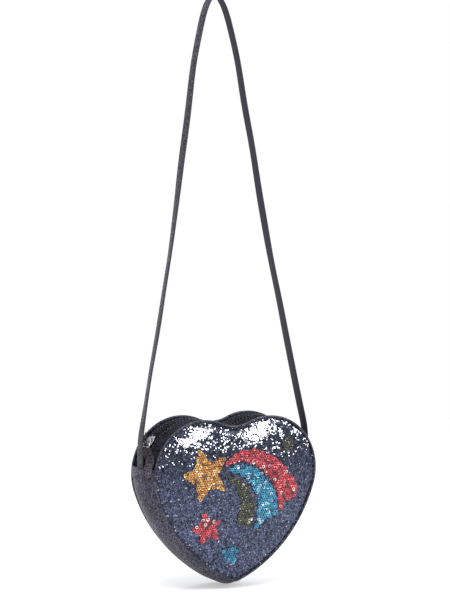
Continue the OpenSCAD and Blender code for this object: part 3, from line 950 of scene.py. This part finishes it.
# half of the wire frame, from the pin to the middle of its far end
PULL_HALF = [(0, 0.5), (0, 1.6), (-0.5, 2.2), (-2.0, 3.4), (-4.8, 5.3), (-6.4, 5.5), (-7.4, 5.1), (-7.5, 4)]
STOP, STOP_ROUND, STOP_A, STOP_OUT = (2.1, 2.2, 1.5), 0.4, math.radians(28.7), 1.9


def block(size, at, taper, round_off):
    """A cube of the given size with its lower end tapered and all its edges rounded."""
    obj = added(bpy.ops.mesh.primitive_cube_add, size=1, location=Vector(at) * MM)
    obj.scale = Vector(size) * MM
    bpy.ops.object.transform_apply(location=True, rotation=False, scale=True)
    edit(obj, lambda: bpy.ops.mesh.subdivide(number_cuts=2))
    co = coordinates(obj)
    share = np.clip((co[:, 0] / MM - at[0]) / size[0] + 0.5, 0, 1)
    co[:, 1] *= 1 - (1 - taper) * share ** 1.5
    set_coordinates(obj, co)
    modify(obj, "BEVEL", width=round_off * MM, segments=3, limit_method="ANGLE", angle_limit=math.radians(40))
    return obj


def hoop(major, minor, facets, shares, z=0):
    """An upright ring of round wire, stretched by a share along each of its own axes."""
    obj = added(bpy.ops.mesh.primitive_torus_add, major_segments=24, minor_segments=facets,
                major_radius=major * MM, minor_radius=minor * MM, location=(0, 0, z * MM),
                rotation=(math.pi / 2, 0, 0))
    obj.scale = shares
    bpy.ops.object.transform_apply(location=True, rotation=True, scale=True)
    return obj


def joined(name, parts, where):
    only(parts[0])
    for part in parts:
        part.select_set(True)
    bpy.ops.object.join()
    obj = bpy.context.object
    obj.name = obj.data.name = name
    obj.data.transform(where)
    edit(obj, face_outwards)
    smooth(obj, 40)
    return obj


def on_lobe(side, angle, radius, y=ZIP_Y):
    """A place over a lobe whose Z points outwards and whose X points up along the zip."""
    c, s = math.cos(angle), math.sin(angle)
    return frame_at(place(side * (LOBE_X + radius * c), y, radius * s), (side * c, 0, s), (-side * s, 0, c))


parts = [block(PLATE, (0, 0, z), PLATE_TAPER, PLATE_ROUND) for z in (UPPER_Z, LOWER_Z)]
parts.append(block(POST, (POST_X, 0, (UPPER_Z + LOWER_Z) / 2), 1, POST_ROUND))
parts += [block(LUG, (LUG_X, side * LUG_Y, UPPER_Z - LUG_DROP), 1, LUG_ROUND) for side in (-1, 1)]
parts.append(hoop(BRIDGE_R, BRIDGE_WIRE_R, 8, BRIDGE_SHARES, PIN_OUT - LOBE_R))
slider = joined("slider_body", parts, on_lobe(-1, SLIDER_A, LOBE_R))
finish(slider, "slider", "nickel", gunmetal, "zip_slider")

# the pull hangs from the pin, its own X pointing back up at it
hanging = on_lobe(-1, HANG_A, PIN_OUT)
hanging.translation = on_lobe(-1, SLIDER_A, PIN_OUT).translation
ring = [(x, -y) for x, y in PULL_HALF[1::-1]] + PULL_HALF + [(PULL_HALF[-1][0], 0)]
ring += [(x, -y) for x, y in PULL_HALF[:1:-1]]
pull = cord("pull_wire", [Vector((x, y, 0)) * MM for x, y in ring], PULL_WIRE_R, 2)
pull.data.transform(hanging)
finish(pull, "pull", "nickel", nickel, "zip_pull")

stops = []
for side in (-1, 1):
    for y in (ZIP_Y - STOP_OUT, ZIP_Y + STOP_OUT):
        stop = block(STOP, (0, 0, 0), 1, STOP_ROUND)
        stop.data.transform(on_lobe(side, STOP_A, LOBE_R - COIL_INSET, y))
        stops.append(stop)
finish(joined("end_stops", stops, Matrix()), "bag", "nickel", nickel, "zip_end_stops")

# %% [markdown]
# ## The pull's cloth tab
# A strip of the fine glitter cloth hangs from the wire frame between the strap and the front, over the hem.
# It ends in a slanted cut, its edges are painted dark, and an upright loop of the cloth passes through the
# frame. The dark band at the cut is partly edge paint and partly a painted shadow.

# %% Tab
LOOP_AT, TAB_END = (-78.5, 6, 26.07), (-89.6, -18.4, 0)
TAB_SHARES = [(0.03, 0.03, 0.03), (0.18, 0.25, 0.156), (0.35, 0.58, 0.33), (0.58, 0.81, 0.48),
              (0.88, 0.89, 0.66), (1, 1, 1)]
TAB_W, TAB_T, TAB_SLANT, TAB_SIDES = 9, 1.4, 5.2, 12
LOOP_R, LOOP_WIRE_R, LOOP_STRETCH = 1.15, 0.5, TAB_W / 1.1
EDGE_TILT = 0.18


def catmull(a, b, c, d, t):
    square, cube = 2 * a - 5 * b + 4 * c - d, 3 * b - a - 3 * c + d
    return 0.5 * (2 * b + (c - a) * t + square * t * t + cube * t ** 3)


def through(points, steps):
    """A smooth line through points."""
    knots = [Vector(p) for p in points]
    knots = [2 * knots[0] - knots[1]] + knots + [2 * knots[-1] - knots[-2]]
    line = [catmull(*knots[k:k + 4], i / steps) for k in range(len(knots) - 3) for i in range(steps)]
    return line + [knots[-2]]


def direction(line, i):
    return (line[min(i + 1, len(line) - 1)] - line[max(i - 1, 0)]).normalized()


def nearest(line, face):
    """Which place of a line lies nearest to a face."""
    return np.linalg.norm(line - np.array(face.center), axis=1).argmin()


def softened(value, power):
    """A sine or cosine raised to a power with its sign kept, which makes a circle's section squarer."""
    return math.copysign(abs(value) ** power, value)


def tab():
    """The hanging strip, and for each of its faces whether it belongs to the painted edge."""
    knots = [[o + s * (e - o) for o, s, e in zip(LOOP_AT, share, TAB_END)] for share in TAB_SHARES]
    route = through(knots, 4)
    route.insert(-1, route[-2].lerp(route[-1], 0.5))
    rows, flats, last = [], [], len(route) - 1
    for i, p in enumerate(route):
        along, turn = direction(route, i), i / last
        flat = Vector((0, -1, 0)).lerp(Vector((0.62, -0.78, 0)), turn)
        flat = (flat - along * flat.dot(along)).normalized()
        flats.append(flat)
        out = flat.cross(along).normalized()
        slant = -along * TAB_SLANT * turn ** 4
        row = []
        for k in range(TAB_SIDES):
            a = 2 * math.pi * k / TAB_SIDES
            wide, thick = softened(math.cos(a), 0.35) * TAB_W / 2, softened(math.sin(a), 0.6) * TAB_T / 2
            row.append(tuple(p + flat * wide + out * thick + slant * wide / TAB_W))
        rows.append(closed(row))
    obj = cloth("pull_tab_cloth", rows)
    close_ends(obj)
    centres = np.array([place(*p) for p in route])
    painted = []
    for k, face in enumerate(obj.data.polygons):
        flat = flats[nearest(centres, face)]
        # the last row and the end cap are painted dark: edge paint and a painted shadow under the cut
        painted.append(k >= TAB_SIDES * (last - 1) or abs(face.normal.dot(flat)) > EDGE_TILT)
    return obj, painted


tab_cloth, painted = tab()
tab_loop = hoop(LOOP_R, LOOP_WIRE_R, 10, (1, LOOP_STRETCH, 1))
tab_loop.data.transform(Matrix.Translation(place(*LOOP_AT)))
only(tab_cloth)
tab_loop.select_set(True)
bpy.ops.object.join()
smooth(tab_cloth)
finish(tab_cloth, None, "gusset_glitter", [tab_face, edge_paint], "pull_tab")
for face, is_painted in zip(tab_cloth.data.polygons, painted):
    face.material_index = int(is_painted)
loop_z = place(*LOOP_AT)
loop_z - Vector((0, 0, 0.2 * MM))
loop_z - Vector((2.5, 4, 4)) * MM
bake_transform(tab_cloth)

# %% [markdown]
# ## The strap
# One long strip folded over a soft core: the outer face shows glitter, the inner face is smooth vinyl, and
# the two edges are painted dark. It hangs in the curve of the frame's own strap, with a small sway of its
# own and a quarter of a radian of twist low on the left.

# %% Strap
STRAP_SHARES = [(0, 0), (0.012, 0.06), (0.035, 0.12), (0.08, 0.185), (0.17, 0.28), (0.33, 0.41), (0.5, 0.55),
                (0.67, 0.71), (0.83, 0.875), (0.93, 0.98), (0.97, 1), (1, 1)]
STRAP_RISE, STRAP_X, HOOK_LEFT, SEWN_Z, FLEX_Z, TOP_Z = 420, 86.92, 10, -2, 13, 433
TWIST, TWIST_LOW, TWIST_HIGH, LEAN, SWAY = 0.24, 20, 270, 0.10, 0.9
EDGE_Y = 4.65
# the strap's section: its outer face is slightly crowned and its edges are round
SECTION = [(-5, 0.3), (-4.6, 0.85), (-3.6, 1), (-1.5, 1.08), (1.5, 1.08), (3.6, 1), (4.6, 0.85), (5, 0.3),
           (5, -0.3), (4.6, -0.85), (3.4, -0.95), (-3.4, -0.95), (-4.6, -0.85), (-5, -0.3)]


def strap_line():
    """The middle of the strap, from its left end to its right one."""
    half = [(x, 0, z) for z, x in STRAP_SHARES]
    whole = through([(-x, 0, z) for x, _, z in half[:0:-1]] + half, 8)
    line = [Vector((HOOK_LEFT * (s.z - 1) + STRAP_X * s.x, 0, TOP_Z - STRAP_RISE * s.z)) for s in whole]
    ends = [FLEX_Z - 3, FLEX_Z - 6, FLEX_Z - 9, FLEX_Z - 12, SEWN_Z]
    return [Vector((-STRAP_X, 0, z)) for z in reversed(ends)] + line + [Vector((STRAP_X, 0, z)) for z in ends]


def strap(line):
    rows = []
    for i, p in enumerate(line):
        along = direction(line, i)
        out = Vector((-along.z, 0, along.x))
        free = ease(p.z, FLEX_Z + 4, 40) * min((TOP_Z - 3 - p.z) / 60, 1)
        low_left = ease(p.z, TWIST_LOW, 45) * ease(TWIST_HIGH - p.z, 0, 70) * (p.x < 0)
        twist = free * LEAN * wander(p.x, p.z, 75, 6) - TWIST * low_left
        flat, up = Vector((0, math.cos(twist), 0)) + out * math.sin(twist), out * math.cos(twist)
        middle = p + out * free * SWAY * wander(p.x, p.z, 60, 7)
        rows.append([tuple(middle + flat * w + up * t) for w, t in closed(SECTION)])
    obj = cloth("shoulder_strap", rows)
    close_ends(obj)
    return obj


route = strap_line()
strap_piece = strap(route)
finish(strap_piece, None, "strap_leatherette", [strap_face, inner_vinyl, edge_paint],
       "strap", "strap_end_left", "strap_end_right")
centres = np.array([place(*p) for p in route])
inner_side = place(0, 0, 200)
for face in strap_piece.data.polygons:
    near = centres[nearest(centres, face)]
    if abs(face.center.y) > EDGE_Y * MM or abs(face.normal.y) > 0.6:
        face.material_index = 2
    elif face.normal.dot(inner_side - Vector(near)) > 0:
        face.material_index = 1
modify(strap_piece, "SUBSURF", levels=1, render_levels=1)
smooth(strap_piece, 60)
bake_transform(strap_piece)

# %% [markdown]
# ## The lining
# A plain woven bag inside the foam, open below the zip.

# %% Lining
CORE, LINING_Y, LINING_T = 4.6, 17.6, 0.3
CUT_BACK_Y, CUT_Z = 2 * ZIP_Y, 24


def lining():
    ring = closed(outline(CORE))
    rows = [[(x * s, -LINING_Y, z * s) for x, z in ring] for s in (0, 0.5, 1)]
    rows += [[(x, y, z) for x, z in ring] for y in (-9, 0, 0.1, CUT_BACK_Y - 0.1, CUT_BACK_Y)]
    rows += [[(x * s, LINING_Y, z * s) for x, z in ring] for s in (1, 0.5, 0)]
    obj = cloth("lining_bag", rows)
    edit(obj, lambda: select_nothing("FACE"))
    for face in obj.data.polygons:
        y, z = face.center.y / MM, face.center.z / MM - HANG.z
        face.select = 0.1 < y < CUT_BACK_Y - 0.1 and z > CUT_Z
    bpy.ops.object.mode_set(mode="EDIT")
    bpy.ops.mesh.delete(type="FACE")
    bpy.ops.object.mode_set(mode="OBJECT")
    thicken(obj, LINING_T, 0)
    return obj


finish(lining(), "bag", "lining", lining_weave, "front_lining", "back_lining", "gusset_lining")

# %% [markdown]
# ## The sequins
# The picture on the front is sewn from small ring sequins, which overlap like scales. Each figure's outline
# is read from the frame: a line is cast at its solid, and where it hits, a sequin may sit. Every sequin
# leans a little, so some show their colour and some flash white. The near-white tone in each palette is a
# painted flash, and each ring has a painted highlight on its outer rim and painted shade round its hole.

# %% Sequins
SEQUIN_R, HOLE_R, SEQUIN_DISH, SEQUIN_T, PITCH = 1.6, 0.6, 0.22, 0.1, 2.4
# each palette's last, near-white tone is a painted flash
RED = colours((220, 62, 74), (190, 38, 54), (238, 98, 104), (112, 16, 32), (252, 222, 216))
BLUE = colours((36, 150, 190), (20, 120, 162), (92, 192, 222), (8, 70, 104), (222, 244, 248))
GOLD = colours((218, 154, 60), (190, 120, 40), (240, 194, 112), (122, 70, 26), (252, 236, 200))
OLIVE = colours((60, 62, 36), (44, 48, 28), (88, 90, 52), (22, 24, 16), (240, 236, 200))
# each figure: its slot, its tones, how often each tone comes, and how far its sequins stay from its edge
FIGURES = {
    "star": ("gold_sequins", GOLD, (7, 6, 3, 5, 1), 0.8),
    "red_arc": ("red_sequins", RED, (7, 6, 3, 5, 1), 0.35),
    "blue_arc": ("blue_sequins", BLUE, (7, 6, 3, 4, 1), 0.35),
    "olive_arc": ("olive_sequins", OLIVE, (7, 7, 3, 5, 1.6), 0.35),
    "red_flower": ("red_sequins", RED, (7, 6, 3, 5, 1), 0.8),
    "blue_flower": ("blue_sequins", BLUE, (7, 6, 3, 4, 1), 0.8),
    "olive_flower": ("olive_sequins", OLIVE[:4], (6, 6, 2, 4), 0.8),
}


def sequin_pattern():
    """A dished ring, and a shade for each of its vertices: painted shade darkens the hole's rim, a painted
    highlight lightens the outer rim.
    """
    obj = added(bpy.ops.mesh.primitive_circle_add, vertices=12, radius=SEQUIN_R * MM, fill_type="NGON")
    edit(obj, lambda: bpy.ops.mesh.inset(thickness=(SEQUIN_R - HOLE_R) * MM, depth=-SEQUIN_DISH * MM),
         lambda: bpy.ops.mesh.delete(type="FACE"))
    modify(obj, "SOLIDIFY", thickness=SEQUIN_T * MM, offset=0)
    radius = np.linalg.norm(coordinates(obj)[:, :2], axis=1)
    # painted highlight on the outer rim, painted shade round the hole
    return obj, np.where(radius > 0.8 * SEQUIN_R * MM, 1.3, 0.35)


def sew(figure, seed):
    """Sequins in offset rows. A flower's may overhang its edge, so that its petals stay full."""
    node = "sequin_" + figure
    solid, panel = surface_of(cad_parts[node]), surface_of(hearts["front"])
    low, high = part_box(node)
    rng = random.Random(seed)
    slot, tones, shares, reach = FIGURES[figure]
    inside = any if "flower" in figure else all
    tries = [(dx * reach * MM, dz * reach * MM) for dx, dz in ((0, 0), (1, 0), (-1, 0), (0, 1), (0, -1))]
    toward, ahead = Vector((0, 1, 0)), -0.1
    places, tints = [], []
    row, z = 0, low.z + 0.9 * MM
    while z < high.z:
        x = low.x + (row % 2) * PITCH / 2 * MM
        while x < high.x:
            px, pz = x + rng.uniform(-0.35, 0.35) * MM, z + rng.uniform(-0.35, 0.35) * MM
            hits = (solid.ray_cast(Vector((px + dx, ahead, pz + dz)), toward)[0] for dx, dz in tries)
            if inside(hit is not None for hit in hits):
                where, normal, _, _ = panel.ray_cast(Vector((px, ahead, pz)), toward)
                lean = Vector((rng.gauss(0, 0.14), 0, rng.gauss(0, 0.14)))
                spin = Vector((rng.uniform(-1, 1), 0, rng.uniform(-1, 1)))
                where = where + normal * rng.uniform(0.45, 0.75) * MM
                places.append(frame_at(where, normal + lean, spin))
                tints.append(rng.choices(tones, shares)[0])
            x += PITCH * MM
        row, z = row + 1, z + PITCH * 0.87 * MM
    print(node, len(places), "sequins")
    finish(stamp("sewn_" + figure, sequin, places, tints, painted_shading), "bag", slot, sequin_foil, node)


sequin, painted_shading = sequin_pattern()
for seed, figure in enumerate(FIGURES):
    sew(figure, 40 + seed)
bpy.data.objects.remove(sequin)

# %% [markdown]
# ## Floor and light
# A white floor just under the tip, a wide soft light above, a smaller one in front whose reflection
# sparkles over the lobes, two weaker ones, and a pale sky. The floor and the sky are white to the camera
# and in reflections, and the floor still takes the bag's soft shadow.

# %% Floor and light
FLOOR_SIZE, FLOOR_BELOW, GLOW = 14, 1.5, 0.36
FAR_FROM, FAR_SPAN = 0.35, 0.9
SKY = 0.55


def seen_directly(s):
    """1 for rays from the camera, in reflections and through glass, and 0 for the rest of the light."""
    camera_ray, mirror_ray, glass_ray = (s.node("ShaderNodeLightPath", out="Is " + kind + " Ray")
                                         for kind in ("Camera", "Glossy", "Transmission"))
    return (camera_ray + mirror_ray + glass_ray).clip()


def glowing(s, kind, tone, strength):
    return s.node(kind, None, {"Color": tone, "Strength": strength})


def blended(s, share, a, b):
    return s.node("ShaderNodeMixShader", None, {0: share, 1: a, 2: b})


floor_z = cad_box[0].z - FLOOR_BELOW * MM
floor = added(bpy.ops.mesh.primitive_plane_add, size=FLOOR_SIZE, location=(0, 0, floor_z))
floor.name = "floor"
s = new_finish("white_floor")
paper = s.node("ShaderNodeBsdfDiffuse", None, {"Color": (0.86, 0.86, 0.87, 1)})
near = s.node("ShaderNodeAddShader", None, {0: glowing(s, "ShaderNodeEmission", WHITE, GLOW), 1: paper})
far = ((s.vector("LENGTH", s.place(), out="Value") - FAR_FROM) / FAR_SPAN).clip()
shown = blended(s, far, near, glowing(s, "ShaderNodeEmission", WHITE, 1.0))
s.node("ShaderNodeOutputMaterial", None, {"Surface": blended(s, seen_directly(s), paper, shown)})
floor.data.materials.append(s.owner)

world = bpy.data.worlds.new("studio")
bpy.context.scene.world = world
s = Shader(world)
sky = glowing(s, "ShaderNodeBackground", (0.98, 0.99, 1, 1), SKY)
white = glowing(s, "ShaderNodeBackground", WHITE, 1.0)
s.node("ShaderNodeOutputWorld", None, {"Surface": blended(s, seen_directly(s), sky, white)})


def lamp(name, at, size, watts, tone=(1, 1, 1)):
    """A soft square light that faces the bag."""
    aim = (Vector((0.01, 0, -0.43)) - Vector(at)).to_track_quat("-Z", "Y").to_euler()
    light = added(bpy.ops.object.light_add, type="AREA", location=at, rotation=aim)
    light.name = name
    light.data.size, light.data.energy, light.data.color = size, watts, tone


lamp("top_softbox", (-0.5, -0.5, 0.9), 0.8, 10)
lamp("front_softbox", (0.62, -0.9, 0.2), 0.5, 6)
lamp("left_fill", (-1.7, -0.8, 0.1), 1.2, 7, (1, 0.99, 0.97))
lamp("back_rim", (0.7, 1.2, 0.8), 0.8, 8)
bpy.context.scene.view_settings.view_transform = "Standard"
